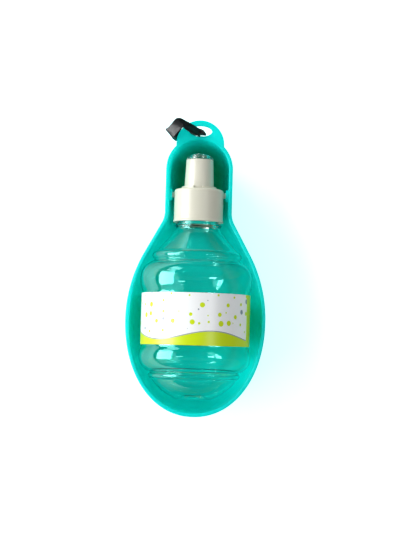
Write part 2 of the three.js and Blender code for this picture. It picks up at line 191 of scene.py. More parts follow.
# painted reflection: glossy rays that meet the paper on its right side see a teal emission instead of the paper,
# fainter toward the tab
beside = knot(t, "ShaderNodeMapRange", {"Value": across.outputs["Y"], "From Min": 0.14, "From Max": 0.06,
                                        "To Min": 0.03, "To Max": 0.6})
painted_teal_reflection = knot(t, "ShaderNodeEmission", {"Color": linear("#00CFC0"), "Strength": beside.outputs[0]})
away = knot(t, "ShaderNodeMapRange", {"Value": across.outputs["X"], "From Min": -0.25, "From Max": -0.05})
mirror = knot(t, "ShaderNodeMath", {0: ray.outputs["Is Glossy Ray"], 1: ray.outputs["Glossy Depth"]},
              operation="MULTIPLY", use_clamp=True)
away = knot(t, "ShaderNodeMath", {0: away.outputs["Result"], 1: mirror.outputs[0]}, operation="MULTIPLY")
eye = knot(t, "ShaderNodeMath", {0: ray.outputs["Is Camera Ray"], 1: ray.outputs["Is Transmission Ray"]},
           operation="MAXIMUM")
shown = knot(t, "ShaderNodeMixShader", {"Fac": eye.outputs[0], 1: sheet.outputs[0], 2: both.outputs[0]})
shown = knot(t, "ShaderNodeMixShader", {"Fac": away.outputs[0], 1: shown.outputs[0], 2: painted_teal_reflection.outputs[0]})
knot(t, "ShaderNodeOutputMaterial", {"Surface": shown.outputs[0]})
span = np.linspace(-2500, 2500, 9)
floor = build("paper_floor", [skin(np.stack([*np.meshgrid(span, span), np.zeros((9, 9))], -1))])
floor.data.materials.append(paper)

# ---------------------------------------------------------------------------------------
# Tray. A gourd-shaped dish moulded in one shot from turquoise polypropylene, which lets a
# little light through. It has a rolled rim, a hang tab and two eyes for the collar's pins.
# ---------------------------------------------------------------------------------------
hinge = next(j for j in frame["joints"] if j["name"] == "bottle_flip")["pos_m"]
NECK_HALF, NECK_END_Y, RIM_W, RIM_OVER, RIM_UP = 24.9, 19.0, 2.8, 0.9, 6.0
BOWL_Y, BOWL_HALF, BOWL_END = -93.5, 52.0, 71.5
FLOOR_Z, BASE_Z = -42.5, -44.4
FLANK_R, FLANK_LEAN, WAIST_R, END_POWER = 103.5, 28.8, 18.5, 2.1
SLOT_Y, SLOT_HALF, SLOT_RISE = 47.5, 8.55, 3.9
TAB_R, TAB_ABOVE, TAB_ROOT_R = 17.9, 9.7, 22.7


def rim_half():
    """Right half of the rim from the far end to the neck end, as places and outward normals:
    a superellipse quarter, a flank arc, a straight, a hollow waist arc, a straight and a quarter circle."""
    t = np.linspace(np.pi / 2, 0, 120)
    c, s = np.abs(np.cos(t)), np.abs(np.sin(t))
    c[0], s[-1] = 0, 0
    x, y = c ** (2 / END_POWER), s ** (2 / END_POWER)
    end = np.stack([x * BOWL_HALF, BOWL_Y - y * BOWL_END], 1)
    end_out = np.stack([x ** (END_POWER - 1) / BOWL_HALF, -(y ** (END_POWER - 1)) / BOWL_END], 1)
    lean = math.radians(FLANK_LEAN)
    a = np.linspace(0, lean, 50)[1:]
    out = np.stack([np.cos(a), np.sin(a)], 1)
    flank = np.array([BOWL_HALF - FLANK_R, BOWL_Y]) + FLANK_R * out
    waist_x = NECK_HALF + WAIST_R
    waist_y = flank[-1, 1] + (WAIST_R - (waist_x - flank[-1, 0]) * math.cos(lean)) / math.sin(lean)
    b = np.linspace(lean, 0, 30)
    waist_out = np.stack([np.cos(b), np.sin(b)], 1)
    waist = np.array([waist_x, waist_y]) - WAIST_R * waist_out
    q = np.linspace(0, np.pi / 2, 70)
    round_out = np.stack([np.cos(q), np.sin(q)], 1)
    round_out[-1, 0] = 0
    neck = np.array([0, NECK_END_Y]) + NECK_HALF * round_out
    step = np.linspace(0, 1, 12)[1:-1, None]
    line = flank[-1] + (waist[0] - flank[-1]) * step
    side = waist[-1] + (neck[0] - waist[-1]) * np.linspace(0, 1, 24)[1:-1, None]
    places = np.concatenate([end, flank, line, waist, side, neck])
    outs = np.concatenate([end_out, out, np.repeat(out[-1:], len(line), 0), waist_out,
                           np.repeat(waist_out[-1:], len(side), 0), round_out])
    return places, outs / np.linalg.norm(outs, axis=1, keepdims=True)


def tray_section():
    """Section of the wall as inset from the rim's outline and height: up the outside from the
    base with an elliptic rounding, round the rim's edges, and down the inside to the floor."""
    a = np.radians(np.linspace(0, 90, 28))
    falling = lambda edge, low, height: np.stack(
        [edge + 0.02 * (RIM_UP - low - height * (1 - np.cos(a))) + 20.0 * (1 - np.sin(a)),
         low + height * (1 - np.cos(a))], 1)
    turn = np.radians(np.linspace(0, 90, 8))
    outer = np.stack([0.9 - 0.9 * np.cos(turn), RIM_UP - 0.9 + 0.9 * np.sin(turn)], 1)
    under = np.array([[RIM_OVER + 0.06, RIM_UP - 3.25], [RIM_OVER - 0.2, RIM_UP - 3.0], [0.2, RIM_UP - 3.0],
                      [0.0, RIM_UP - 2.8]])
    inner = np.stack([RIM_W - outer[:, 0], outer[:, 1]], 1)[::-1]
    return np.concatenate([falling(RIM_OVER, BASE_Z, 30.0), under, outer, inner,
                           falling(RIM_W, FLOOR_Z, 28.1)[::-1]])


def tray_shell():
    """The outline set in by the section's insets at the section's heights, closed on both faces
    by rings that shrink to a point under the bowl's widest place."""
    places, outs = rim_half()
    section = tray_section()
    right = places[None] - section[:, 0, None, None] * outs[None]
    left = right[:, -2:0:-1] * np.array([-1, 1])
    ring = np.concatenate([right, left], 1)
    height = np.broadcast_to(section[:, 1, None, None], ring.shape[:2] + (1,))
    wall = np.concatenate([ring, height], 2)
    shrink = (np.linspace(0, 1, 9)[:-1] ** 0.5)[:, None, None]
    base = np.array([0, BOWL_Y, BASE_Z]) + (wall[0] - [0, BOWL_Y, BASE_Z]) * shrink
    pan = np.array([0, BOWL_Y, FLOOR_Z]) + (wall[-1] - [0, BOWL_Y, FLOOR_Z]) * shrink[::-1]
    return skin(np.concatenate([base, wall, pan]), wrap_cols=True)


def tab_plate():
    """The hang tab as a ring about its slot: from the slot's ellipse out to the tab's round end,
    its straight sides or the rim, with both edges rounded; found along rays from the slot's middle."""
    t = np.linspace(0, 2 * np.pi, 240, endpoint=False)
    ray = np.stack([np.cos(t), np.sin(t)], 1)
    slot = SLOT_HALF * SLOT_RISE / np.hypot(SLOT_RISE * ray[:, 0], SLOT_HALF * ray[:, 1])
    top_b = ray[:, 1] * TAB_ABOVE
    to_round = -top_b + np.sqrt(top_b ** 2 - TAB_ABOVE ** 2 + TAB_R ** 2)
    to_side = TAB_R / np.maximum(np.abs(ray[:, 0]), 1e-9)
    reach = np.where(TAB_ABOVE + to_round * ray[:, 1] >= 0, to_round, to_side)
    neck_far = SLOT_Y - NECK_END_Y
    neck_b = ray[:, 1] * neck_far
    inside = neck_b ** 2 - neck_far ** 2 + TAB_ROOT_R ** 2
    to_neck = np.where((inside > 0) & (neck_b < 0), -neck_b - np.sqrt(np.maximum(inside, 0)), 1e9)
    reach = np.minimum(reach, to_neck)
    turn = np.radians(np.linspace(0, 90, 6))
    high, low, soft = RIM_UP - 0.03, RIM_UP - 3.0, 0.6
    edge = np.concatenate([np.stack([soft - soft * np.cos(turn), high - soft + soft * np.sin(turn)], 1),
                           np.stack([soft - soft * np.cos(turn), low + soft - soft * np.sin(turn)], 1)[::-1]])
    edge = np.concatenate([edge[6:], edge[:6]])
    hole = [np.column_stack([ray * (slot + e)[:, None], np.full(len(t), z)]) for e, z in edge]
    rim = [np.column_stack([ray * (reach - e)[:, None], np.full(len(t), z)]) for e, z in edge[::-1]]
    flat = [hole[-1] + (rim[0] - hole[-1]) * s for s in np.linspace(0, 1, 6)[1:-1]]
    back = [rim[-1] + (hole[0] - rim[-1]) * s for s in np.linspace(0, 1, 6)[1:-1]]
    return skin(np.array(hole + flat + rim + back) + [0, SLOT_Y, 0], True, True)


def turned_x(profile, sides=64):
    """A profile of (radius, x) turned about the hinge axis."""
    a = np.linspace(0, 2 * np.pi, sides, endpoint=False)
    r, x = np.asarray(profile, float).T[:, :, None]
    return skin(np.stack([x + 0 * a, r * np.cos(a), r * np.sin(a)], -1), wrap_cols=True)


def carve(body, tools, operation):
    """Joins tools to a body or cuts them from it, exactly, and clears the tools away."""
    for tool in tools:
        change = body.modifiers.new(operation.lower(), "BOOLEAN")
        change.operation, change.object, change.solver = operation, tool, "EXACT"
    bpy.context.view_layer.update()
    made = bpy.data.meshes.new_from_object(body.evaluated_get(bpy.context.evaluated_depsgraph_get()))
    made.name = body.name
    body.modifiers.clear()
    body.data = made
    for tool in tools:
        bpy.data.objects.remove(tool)
    made.shade_smooth()
    made.set_sharp_from_angle(angle=math.radians(35))
    return body


tray = build("tray_moulding", [tray_shell()], origin=hinge)
eye = [(0, 20.0), (4.1, 20.0), (4.5, 20.4), (4.5, 22.9), (0, 22.9)]
eyes = [build(f"eye_{side}", [turned_x([(r, side * x) for r, x in eye])], origin=hinge) for side in (1, -1)]
carve(tray, [build("tab", [tab_plate()], origin=hinge), *eyes], "UNION")
bore = [(0, -30), (2.3, -30), (2.3, 30), (0, 30)]
carve(tray, [build("bore", [turned_x(bore)], origin=hinge)], "DIFFERENCE")

# Polypropylene, moulded: satin, translucent toward the rim, with faint flow in the sheen. Inside the narrow
# neck the colour is painted darker and greener below the rim: painted shade for the light that there comes only off
# walls of the same plastic
turquoise, t = finish("moulded_turquoise_polypropylene")
where = knot(t, "ShaderNodeTexCoord")
flow = knot(t, "ShaderNodeTexNoise", {"Vector": where.outputs["Object"], "Scale": 60.0, "Detail": 3.0})
grain = knot(t, "ShaderNodeTexNoise", {"Vector": where.outputs["Object"], "Scale": 2200.0, "Detail": 2.0})
gloss = knot(t, "ShaderNodeMapRange", {"Value": flow.outputs["Fac"], "To Min": 0.28, "To Max": 0.38})
hue = knot(t, "ShaderNodeMix", {"Factor": flow.outputs["Fac"], 6: linear("#00ECEA"), 7: linear("#00F2F0")},
           data_type="RGBA")
axes = knot(t, "ShaderNodeSeparateXYZ", {"Vector": where.outputs["Object"]})
under = knot(t, "ShaderNodeMath", {0: axes.outputs["Z"], 1: hinge[2] + 0.001 * RIM_UP}, operation="SUBTRACT")
past = knot(t, "ShaderNodeMath", {0: axes.outputs["Y"], 1: hinge[1] + 0.001 * NECK_END_Y}, operation="SUBTRACT")
past = knot(t, "ShaderNodeMath", {0: past.outputs[0], 1: 0.0}, operation="MAXIMUM")
spoke = knot(t, "ShaderNodeCombineXYZ", {"X": axes.outputs["X"], "Y": past.outputs[0], "Z": under.outputs[0]})
face = knot(t, "ShaderNodeNewGeometry")
inside = knot(t, "ShaderNodeVectorMath", {0: spoke.outputs[0], 1: face.outputs["Normal"]}, operation="DOT_PRODUCT")
inside = knot(t, "ShaderNodeMath", {0: inside.outputs["Value"], 1: 0.0}, operation="LESS_THAN")
depth = knot(t, "ShaderNodeMapRange", {"Value": under.outputs[0], "From Min": -0.016, "From Max": -0.042})
narrow = knot(t, "ShaderNodeMapRange", {"Value": axes.outputs["Y"], "From Min": hinge[1] - 0.030,
                                        "From Max": hinge[1] - 0.006})
# painted shade: down inside the narrow neck the base colour goes to a dark green, #00A878
painted_neck_shade = knot(t, "ShaderNodeMath", {0: depth.outputs[0], 1: narrow.outputs[0]}, operation="MULTIPLY")
painted_neck_shade = knot(t, "ShaderNodeMath", {0: painted_neck_shade.outputs[0], 1: inside.outputs[0]}, operation="MULTIPLY")
hue = knot(t, "ShaderNodeMix", {"Factor": painted_neck_shade.outputs[0], 6: hue.outputs[2], 7: linear("#00A878")}, data_type="RGBA")
relief = knot(t, "ShaderNodeBump", {"Height": grain.outputs["Fac"], "Strength": 0.08, "Distance": 0.0001})
plastic = knot(t, "ShaderNodeBsdfPrincipled", {
    "Base Color": hue.outputs[2], "Roughness": gloss.outputs["Result"], "IOR": 1.49, "Specular IOR Level": 0.3,
    "Normal": relief.outputs["Normal"]})
glow = knot(t, "ShaderNodeBsdfTranslucent", {"Color": linear("#00F0E8")})
bowl = knot(t, "ShaderNodeMapRange", {"Value": under.outputs[0], "From Min": -0.044, "From Max": -0.020,
                                      "To Min": 0.2, "To Max": 0.34})
neck = knot(t, "ShaderNodeMapRange", {"Value": under.outputs[0], "From Min": -0.042, "From Max": -0.002,
                                      "To Min": 0.03, "To Max": 0.5})
thin = knot(t, "ShaderNodeMapRange", {"Value": narrow.outputs[0], "To Min": bowl.outputs[0],
                                      "To Max": neck.outputs[0]})
shell = knot(t, "ShaderNodeMixShader", {"Fac": thin.outputs[0], 1: plastic.outputs[0], 2: glow.outputs[0]})
knot(t, "ShaderNodeOutputMaterial", {"Surface": shell.outputs[0]})
tray.data.materials.clear()
tray.data.materials.append(turquoise)
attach(tray, "tray")
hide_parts("tray")

# ---------------------------------------------------------------------------------------
# Collar. A screw collar moulded from warm white polypropylene, with a side pin at each end
# of the hinge axis, a stop ring on top, and a hollow stem that carries the nozzle's valve.
# ---------------------------------------------------------------------------------------
COLLAR_R, COLLAR_FOOT, COLLAR_TOP, STEM_R, STEM_TOP = 18.35, -20.4, 4.0, 6.0, 18.2
RING_R, RING_T, RING_H = 13.0, 1.6, 2.0


def arc(x, y, rx, ry, start, end, steps):
    """Points of an ellipse about (x, y), from one angle to another in degrees."""
    a = np.radians(np.linspace(start, end, steps))
    return np.stack([x + rx * np.cos(a), y + ry * np.sin(a)], 1)


def turned(profile, sides=128):
    """A profile of (radius, height) turned about the bottle's axis, with angles from +Z toward +X;
    one that doesn't begin and end on the axis closes on itself."""
    a = np.linspace(0, 2 * np.pi, sides, endpoint=False)
    r, y = np.asarray(profile, float).T[:, :, None]
    return skin(np.stack([r * np.sin(a), y + 0 * a, r * np.cos(a)], -1), profile[0][0] > 0, True)


def softened(profile, radius):
    """A profile with each corner cut and rounded by a quadratic curve that starts and ends at
    most radius away from the corner, and no more than 0.45 of the side it is on."""
    p = np.asarray(profile, float)
    closed = p[0, 0] > 0
    before, after = np.roll(p, 1, 0) - p, np.roll(p, -1, 0) - p
    length = lambda d: np.maximum(np.linalg.norm(d, axis=1, keepdims=True), 1e-9)
    start = p + before / length(before) * np.minimum(radius, 0.45 * length(before))
    end = p + after / length(after) * np.minimum(radius, 0.45 * length(after))
    s = np.linspace(0, 1, 5)[None, :, None]
    curve = (1 - s) ** 2 * start[:, None] + 2 * s * (1 - s) * p[:, None] + s ** 2 * end[:, None]
    if not closed:
        curve[0], curve[-1] = p[0], p[-1]
    return curve.reshape(-1, 2)


def wedge(start, end, near, far, low, high):
    """A sector of a ring about the bottle's axis as a closed block: a grid of its section's four
    corners carried round from one angle to the other, in degrees from +Z toward +X."""
    a = np.radians(np.linspace(start, end, 13))[:, None]
    r = np.array([near, far, far, near])
    y = np.array([low, low, high, high])
    side = np.stack([r * np.sin(a), y + 0 * a, r * np.cos(a)], -1)
    points, faces = skin(side, False, True)
    ends = np.array([[0, 1, 2, 3], [51, 50, 49, 48]])
    return points, np.concatenate([faces, ends])


def ways(turn, near, far, low, high):
    """The four windows of the valve, a quarter turn apart, each about 3 mm wide."""
    half = math.degrees(1.5 / ((near + far) / 2))
    return [wedge(turn + q - half, turn + q + half, near, far, low, high) for q in (0, 90, 180, 270)]


bead_low = 6.6  # 0.4 mm over the lip at the nozzle's foot
collar_line = [
    (0, STEM_TOP - 1.8), (STEM_R - 1.8, STEM_TOP - 1.8), (STEM_R - 1.8, 1.8), (16.0, 1.8), (16.0, COLLAR_FOOT),
    (COLLAR_R + 0.4, COLLAR_FOOT), (COLLAR_R + 0.4, COLLAR_FOOT + 1.1), (COLLAR_R, COLLAR_FOOT + 1.6),
    *arc(COLLAR_R - 1.6, COLLAR_TOP - 1.6, 1.6, 1.6, 0, 90, 9), (RING_R, COLLAR_TOP), (RING_R, COLLAR_TOP + RING_H),
    (RING_R - RING_T, COLLAR_TOP + RING_H), (RING_R - RING_T, COLLAR_TOP), (STEM_R, COLLAR_TOP), (STEM_R, bead_low),
    (STEM_R + 1.2, bead_low), (STEM_R, bead_low + 1.0), (STEM_R, STEM_TOP - 0.6), (STEM_R + 0.9, STEM_TOP - 0.5),
    (STEM_R, STEM_TOP), (0, STEM_TOP)]
collar = build("screw_collar", [turned(softened(collar_line, 0.35))], origin=hinge)
pin = [(0, 17.0), (2.0, 17.0), (2.0, 23.1), (1.6, 23.5), (0, 23.5)]
carve(collar, [build(f"pin_{side}", [turned_x([(r, side * x) for r, x in pin], 40)], origin=hinge)
               for side in (1, -1)], "UNION")
stop = build("stop_window", [wedge(-18, 18, RING_R - RING_T - 1, RING_R + 1, COLLAR_TOP, COLLAR_TOP + RING_H + 1)],
             origin=hinge)
windows = build("valve_windows", ways(0, STEM_R - 2.8, STEM_R + 1, 11.2, 15.6), origin=hinge)
carve(collar, [stop, windows], "DIFFERENCE")


def white_polypropylene(name, colour):
    """Moulded white polypropylene: satin, with a fine spark-eroded grain of 0.3 mm and a soft glow
    from light that goes a little way in."""
    material, t = finish(name)
    where = knot(t, "ShaderNodeTexCoord")
    grain = knot(t, "ShaderNodeTexNoise", {"Vector": where.outputs["Object"], "Scale": 1800.0, "Detail": 2.0})
    cloud = knot(t, "ShaderNodeTexNoise", {"Vector": where.outputs["Object"], "Scale": 90.0, "Detail": 2.0})
    gloss = knot(t, "ShaderNodeMapRange", {"Value": cloud.outputs["Fac"], "To Min": 0.26, "To Max": 0.36})
    relief = knot(t, "ShaderNodeBump", {"Height": grain.outputs["Fac"], "Strength": 0.12, "Distance": 0.0001})
    plastic = knot(t, "ShaderNodeBsdfPrincipled", {
        "Base Color": linear(colour), "Roughness": gloss.outputs["Result"], "IOR": 1.49,
        "Normal": relief.outputs["Normal"], "Subsurface Weight": 0.15, "Subsurface Scale": 0.002,
        "Subsurface Radius": (1.0, 0.9, 0.7)})
    knot(t, "ShaderNodeOutputMaterial", {"Surface": plastic.outputs[0]})
    return material


collar.data.materials.clear()
collar.data.materials.append(white_polypropylene("collar_white_polypropylene", "#D4D2C2"))
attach(collar, "collar")
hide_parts("collar")

# ---------------------------------------------------------------------------------------
# Nozzle. A tapered twist spout, moulded from the same white plastic, open at the top. Its
# lug runs in the collar's stop window, and four flutes inside it open the valve.
# ---------------------------------------------------------------------------------------
SPOUT_TOP = 26.4
spout_line = [(6.5, 4.6), (11.0, 4.6), (10.05, SPOUT_TOP), (7.9, SPOUT_TOP), (7.9, 6.2), (6.5, 6.2)]
spout = build("twist_spout", [turned(softened(spout_line, 0.3))], origin=hinge)
lug = build("stop_lug", [wedge(12.3, 17.7, 10.0, RING_R, 4.6, 6.0)], origin=hinge)
carve(spout, [lug], "UNION")
flutes = build("flutes", ways(30, 6.9, 9.1, 10.8, 22.0), origin=hinge)
carve(spout, [flutes], "DIFFERENCE")
spout.data.materials.clear()
spout.data.materials.append(white_polypropylene("spout_white_polypropylene", "#D6D4C5"))
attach(spout, "spout")
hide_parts("spout")

# ---------------------------------------------------------------------------------------
# Tip. A small dome of clear plastic, pressed into the nozzle's mouth by a spigot. Water
# comes out at the hole in its middle.
# ---------------------------------------------------------------------------------------
tip_seat = SPOUT_TOP + 0.3
tip_line = [(6.0, SPOUT_TOP - 3.0), (7.6, SPOUT_TOP - 3.0), (7.6, tip_seat),
            *arc(0, tip_seat, 10.05, 4.6, 0, math.degrees(math.acos(2.5 / 10.05)), 24),
            *arc(0, tip_seat, 8.45, 3.0, math.degrees(math.acos(2.5 / 8.45)), 45, 12), (6.0, tip_seat)]
tip = build("clear_tip", [turned(softened(tip_line, 0.15))], origin=hinge)


def clear_plastic(name, tint, glint, rough, ior, swell, depth):
    """Clear plastic, with reflections tinted by glint and long waves in its skin, swell millimetres apart
    and depth metres high; lamps and scattered light go straight through it, so what is behind is lit."""
    material, t = finish(name)
    where = knot(t, "ShaderNodeTexCoord")
    pull = knot(t, "ShaderNodeMapping", {"Vector": where.outputs["Object"], "Scale": (1.0, 0.25, 1.0)})
    wave = knot(t, "ShaderNodeTexNoise", {"Vector": pull.outputs[0], "Scale": 1000.0 / swell, "Detail": 1.0})
    relief = knot(t, "ShaderNodeBump", {"Height": wave.outputs["Fac"], "Strength": 0.25, "Distance": depth})
    glass = knot(t, "ShaderNodeBsdfPrincipled", {
        "Base Color": linear(tint), "Specular Tint": linear(glint), "Roughness": rough, "IOR": ior,
        "Transmission Weight": 1.0, "Normal": relief.outputs["Normal"]})
    through = knot(t, "ShaderNodeBsdfTransparent", {"Color": linear(tint)})
    ray = knot(t, "ShaderNodeLightPath")
    lit = knot(t, "ShaderNodeMath", {0: ray.outputs["Is Shadow Ray"], 1: ray.outputs["Is Diffuse Ray"]},
               operation="MAXIMUM")
    pane = knot(t, "ShaderNodeMixShader", {"Fac": lit.outputs[0], 1: glass.outputs[0], 2: through.outputs[0]})
    knot(t, "ShaderNodeOutputMaterial", {"Surface": pane.outputs[0]})
    return material


tip.data.materials.append(clear_plastic("clear_tip_plastic", "#F4FCFA", "#FFFFFF", 0.18, 1.49, 6.0, 0.0001))
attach(tip, "spout")
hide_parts("spout_tip")

# ---------------------------------------------------------------------------------------
# Seals. The neck gasket and the valve sleeve are pale silicone, pressed in by hand, and the
# ring in the nozzle is black nitrile. They are the solids themselves, with their own rubber.
# ---------------------------------------------------------------------------------------


def rubber(name, colour, rough):
    """Moulded rubber: matt, with a dusty bloom in patches a few millimetres wide."""
    material, t = finish(name)
    where = knot(t, "ShaderNodeTexCoord")
    bloom = knot(t, "ShaderNodeTexNoise", {"Vector": where.outputs["Object"], "Scale": 350.0, "Detail": 4.0})
    gloss = knot(t, "ShaderNodeMapRange", {"Value": bloom.outputs["Fac"], "To Min": rough - 0.08,
                                           "To Max": rough + 0.08})
    soft = knot(t, "ShaderNodeBsdfPrincipled", {"Base Color": linear(colour), "Roughness": gloss.outputs["Result"],
                                                "IOR": 1.41})
    knot(t, "ShaderNodeOutputMaterial", {"Surface": soft.outputs[0]})
    return material


silicone, nitrile = rubber("pale_silicone", "#DFE3E0", 0.55), rubber("black_nitrile", "#232326", 0.6)
for name, seal in (("neck_gasket", silicone), ("valve_sleeve", silicone), ("spout_oring", nitrile)):
    node = frame["nodes"][name]
    node.data.materials.clear()
    node.data.materials.append(seal)

# ---------------------------------------------------------------------------------------
# Bottle. Clear polyester, blown into a mould: two bulges with a straight panel between them
# for the label, ribs where they meet, a pushed-up base and a threaded neck.
# ---------------------------------------------------------------------------------------
BULGE_R, PANEL_R, NECK_R, BASE_Y, PANEL = 41.9, 39.9, 15.5, -152.0, (-112.8, -73.5)


def blown(profile, step=0.4, spread=0.55):
    """A profile as blowing leaves it: points at equal steps along the line, each averaged with its
    neighbours by a bell curve of the given spread in millimetres; the two ends stay put."""
    p = np.asarray(profile, float)
    far = np.concatenate([[0], np.cumsum(np.linalg.norm(np.diff(p, axis=0), axis=1))])
    s = np.linspace(0, far[-1], int(far[-1] / step) + 1)
    even = np.stack([np.interp(s, far, p[:, k]) for k in (0, 1)], 1)
    reach = int(3 * spread / step) + 1
    bell = np.exp(-0.5 * (np.arange(-reach, reach + 1) * step / spread) ** 2)
    bell /= bell.sum()
    padded = np.concatenate([2 * even[:1] - even[reach:0:-1], even, 2 * even[-1:] - even[-2:-reach - 2:-1]])
    return np.stack([np.convolve(padded[:, k], bell, "valid") for k in (0, 1)], 1)


def inward(profile, wall):
    """A profile moved to its inner side by a wall's thickness, square to its own direction."""
    along = np.gradient(profile, axis=0)
    along /= np.linalg.norm(along, axis=1, keepdims=True)
    moved = profile + np.stack([-along[:, 1], along[:, 0]], 1) * wall
    moved[:, 0] = np.maximum(moved[:, 0], 0)
    return moved


heart = BULGE_R - 11.9
body_line = np.concatenate([
    [(0, BASE_Y + 3.6), (7.5, BASE_Y + 2.4), (10.6, BASE_Y)],
    arc(0, BASE_Y + 32, BULGE_R - 5, 34, -69, -31, 24),
    arc(BULGE_R - 10.6, BASE_Y + 17.4, 3.0, 2.5, -75, 75, 16),
    arc(heart, BASE_Y + 31.6, 11.9, 12.3, -66, 0, 24),
    arc(heart, BASE_Y + 31.6, 11.9, 12.8, 0, 32, 12)[1:],
    [(PANEL_R, PANEL[0]), (PANEL_R, PANEL[1])],
    arc(heart, PANEL[1] + 10.5, 11.9, 18, -32, 0, 12),
    arc(heart, PANEL[1] + 10.5, 11.9, 13.5, 0, 74, 24)[1:],
    arc(BULGE_R - 11.5, PANEL[1] + 27.5, 3.0, 3.2, -70, 70, 16),
    [(BULGE_R - 11.6, PANEL[1] + 31.2), (NECK_R + 1.0, COLLAR_FOOT - 6.0), (NECK_R + 0.6, COLLAR_FOOT - 4.4),
     (NECK_R + 2.0, COLLAR_FOOT - 3.2), (NECK_R + 2.0, COLLAR_FOOT - 1.8), (NECK_R, COLLAR_FOOT - 0.6),
     (NECK_R, -0.3)]])
outer = blown(body_line)
outer[0, 0] = 0
inner = inward(outer, 0.7)
inner[:, 0] = np.where(inner[:, 1] > COLLAR_FOOT - 4.4, NECK_R - 2.2, inner[:, 0])
inner[0, 0] = 0
bottle = build("blown_bottle", [turned(np.concatenate([outer, inner[::-1]]), 160)], crease=60, origin=hinge)


def neck_thread():
    """The neck's screw thread: a low trapezoid carried along two turns of a helix of 3 mm pitch,
    fading into the neck at both ends."""
    turn = np.linspace(0, 2.2, 200)
    a = 2 * np.pi * turn
    fade = np.clip(np.minimum(turn, 2.2 - turn) / 0.15, 0.02, 1)[:, None]
    up = np.array([-0.9, -0.35, 0.35, 0.9])
    out = np.array([-0.3, 0.42, 0.42, -0.3])
    r = NECK_R + np.where(out > 0, out * fade, out)
    y = (-10.5 + 3.0 * turn)[:, None] + up * fade
    points, faces = skin(np.stack([r * np.sin(a)[:, None], y, r * np.cos(a)[:, None]], -1), False, True)
    last = 4 * (len(turn) - 1)
    return points, np.concatenate([faces, [[3, 2, 1, 0], [last, last + 1, last + 2, last + 3]]])


thread = build("neck_thread", [neck_thread()], origin=hinge)

clear = clear_plastic("clear_blown_polyester", "#F4FDFB", "#90FFFA", 0.02, 1.575, 14.0, 0.0004)
for part in (bottle, thread):
    part.data.materials.append(clear)
    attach(part, "bottle")
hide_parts("bottle")

# ---------------------------------------------------------------------------------------
# Label. A printed polypropylene sleeve wrapped round the panel and glued at the back. The
# print is a plain wave of lime under white, with a grey line and a few drops.
# ---------------------------------------------------------------------------------------
label_in, label_out, label_low, label_high = PANEL_R + 0.3, PANEL_R + 0.6, PANEL[0] + 0.7, PANEL[1] - 0.7
label_line = [(label_in, label_low), (label_out, label_low), *[(label_out, y) for y in
              np.linspace(label_low, label_high, 14)[1:-1]], (label_out, label_high), (label_in, label_high)]
label = build("label_sleeve", [turned(label_line, 160)], crease=60, origin=hinge)
film, t = finish("printed_label_film")
where = knot(t, "ShaderNodeTexCoord")
move = knot(t, "ShaderNodeVectorMath", {0: where.outputs["Object"], 1: tuple(-np.array(hinge))}, operation="ADD")
axes = knot(t, "ShaderNodeSeparateXYZ", {"Vector": move.outputs[0]})
turn = knot(t, "ShaderNodeMath", {0: axes.outputs["X"], 1: axes.outputs["Z"]}, operation="ARCTAN2")
# how far round from the front, in millimetres, and how high on the label
round_mm = knot(t, "ShaderNodeMath", {0: turn.outputs[0], 1: label_out}, operation="MULTIPLY")
high_mm = knot(t, "ShaderNodeMath", {0: axes.outputs["Y"], 1: 1000.0, 2: -label_low}, operation="MULTIPLY_ADD")
swing = knot(t, "ShaderNodeMath", {0: round_mm.outputs[0], 1: 2 * math.pi / 84.0, 2: 0.6}, operation="MULTIPLY_ADD")
swing = knot(t, "ShaderNodeMath", {0: swing.outputs[0]}, operation="SINE")
crest = knot(t, "ShaderNodeMath", {0: swing.outputs[0], 1: 3.2, 2: 7.0}, operation="MULTIPLY_ADD")
above = knot(t, "ShaderNodeMath", {0: high_mm.outputs[0], 1: crest.outputs[0]}, operation="SUBTRACT")
field = knot(t, "ShaderNodeMapRange", {"Value": above.outputs[0], "From Min": -0.1, "From Max": 0.1})
line = knot(t, "ShaderNodeMath", {0: above.outputs[0], 1: 0.3, 2: 0.35}, operation="COMPARE")
front = knot(t, "ShaderNodeMath", {0: round_mm.outputs[0], 1: -10.0, 2: 58.0}, operation="COMPARE")
pale = knot(t, "ShaderNodeMath", {0: field.outputs["Result"], 1: front.outputs[0]}, operation="MULTIPLY")
lines = knot(t, "ShaderNodeMath", {0: line.outputs[0], 1: front.outputs[0]}, operation="MULTIPLY")
lime, white, slate = linear("#C9E000"), linear("#F1F3F4"), linear("#8A93A0")
ink = knot(t, "ShaderNodeMix", {"Factor": pale.outputs[0], 6: lime, 7: white}, data_type="RGBA")
ink = knot(t, "ShaderNodeMix", {"Factor": lines.outputs[0], 6: ink.outputs[2], 7: slate}, data_type="RGBA")
# drops over the wave: at most one in each cell of 7 mm, up to 4 mm wide, lime or grey
cells = knot(t, "ShaderNodeCombineXYZ", {"X": round_mm.outputs[0], "Y": high_mm.outputs[0]})
spots = knot(t, "ShaderNodeTexVoronoi", {"Vector": cells.outputs[0], "Scale": 1 / 7.0, "Randomness": 0.8},
             voronoi_dimensions="2D")
lot = knot(t, "ShaderNodeSeparateColor", {"Color": spots.outputs["Color"]})
size = knot(t, "ShaderNodeMapRange", {"Value": lot.outputs["Red"], "From Min": 0.2, "To Min": 0.0, "To Max": 0.30})
spot = knot(t, "ShaderNodeMath", {0: spots.outputs["Distance"], 1: size.outputs["Result"]}, operation="LESS_THAN")
clearing = knot(t, "ShaderNodeMath", {0: above.outputs[0], 1: 4.0}, operation="GREATER_THAN")
spot = knot(t, "ShaderNodeMath", {0: spot.outputs[0], 1: clearing.outputs[0]}, operation="MULTIPLY")
spot = knot(t, "ShaderNodeMath", {0: spot.outputs[0], 1: front.outputs[0]}, operation="MULTIPLY")
grey = knot(t, "ShaderNodeMath", {0: lot.outputs["Green"], 1: 0.72}, operation="GREATER_THAN")
dot = knot(t, "ShaderNodeMix", {"Factor": grey.outputs[0], 6: lime, 7: slate}, data_type="RGBA")
